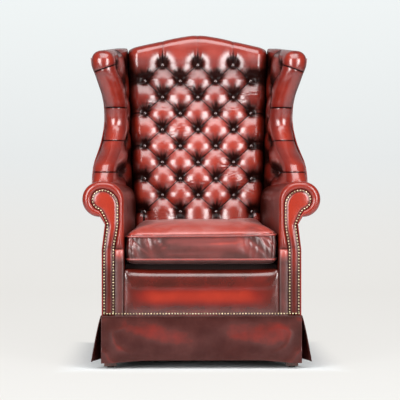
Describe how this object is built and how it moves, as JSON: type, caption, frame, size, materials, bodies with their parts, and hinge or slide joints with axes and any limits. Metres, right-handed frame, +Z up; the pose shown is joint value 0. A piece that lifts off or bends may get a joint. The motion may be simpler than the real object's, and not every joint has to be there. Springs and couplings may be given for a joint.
{
  "type": "wing armchair",
  "caption": "High-back wing armchair with scroll arms, deep diamond buttoning, loose seat cushion and a skirt to the floor.",
  "frame": {"origin": "centre of the floor area under the chair, on the floor", "axes": "+Z up, +X to the right seen from the front, the front faces -Y"},
  "size_m": [0.7794, 0.7937, 1.1638],
  "materials": {
    "arm_leather": "glossy antiqued hide",
    "black_cloth": "thin matt cloth",
    "border_leather": "glossy antiqued hide",
    "button_leather": "glossy hide",
    "cushion_leather": "satin worn hide",
    "deck_cloth": "matt cloth over felt",
    "facing_leather": "glossy antiqued hide",
    "frame_beech": "bare sawn beech",
    "glide_plastic": "matt",
    "outside_leather": "glossy antiqued hide",
    "roll_leather": "glossy antiqued hide",
    "skirt_leather": "satin antiqued hide",
    "stained_legs": "dark stained and varnished",
    "tufted_leather": "glossy antiqued hide",
    "webbing": "woven",
    "wing_leather": "glossy antiqued hide"
  },
  "bodies": {
    "chair": {"back_buttons": "button_leather", "back_pad": "tufted_leather", "back_rail": "frame_beech", "back_skirt": "skirt_leather", "back_tacking_rail": "frame_beech", "back_webbing": "webbing", "corner_blocks": "frame_beech", "crest_rail": "frame_beech", "crest_roll": "roll_leather", "dust_cover": "black_cloth", "front_border": "border_leather", "front_rail": "frame_beech", "front_skirt": "skirt_leather", "glides": "glide_plastic", "left_arm_end_cap": "outside_leather", "left_arm_facing": "facing_leather", "left_arm_front_board": "frame_beech", "left_arm_pad": "arm_leather", "left_arm_rail": "frame_beech", "left_arm_tacking_rail": "frame_beech", "left_back_post": "frame_beech", "left_front_leg": "stained_legs", "left_outside_arm": "outside_leather", "left_outside_wing": "outside_leather", "left_side_rail": "frame_beech", "left_side_skirt": "skirt_leather", "left_wing_buttons": "button_leather", "left_wing_pad": "wing_leather", "left_wing_post": "frame_beech", "left_wing_top_rail": "frame_beech", "outside_back": "outside_leather", "right_arm_end_cap": "outside_leather", "right_arm_facing": "facing_leather", "right_arm_front_board": "frame_beech", "right_arm_pad": "arm_leather", "right_arm_rail": "frame_beech", "right_arm_tacking_rail": "frame_beech", "right_back_post": "frame_beech", "right_front_leg": "stained_legs", "right_outside_arm": "outside_leather", "right_outside_wing": "outside_leather", "right_side_rail": "frame_beech", "right_side_skirt": "skirt_leather", "right_wing_buttons": "button_leather", "right_wing_pad": "wing_leather", "right_wing_post": "frame_beech", "right_wing_top_rail": "frame_beech", "seat_deck": "deck_cloth", "seat_webbing": "webbing", "skirt_welt": "skirt_leather"},
    "seat_cushion": {"seat_cushion": "cushion_leather"}
  },
  "joints": [
    {"name": "cushion_draw", "type": "slide", "parent": "chair", "child": "seat_cushion", "axis": [0, -0.891, 0.454], "range_m": [0, 0.6]}
  ]
}
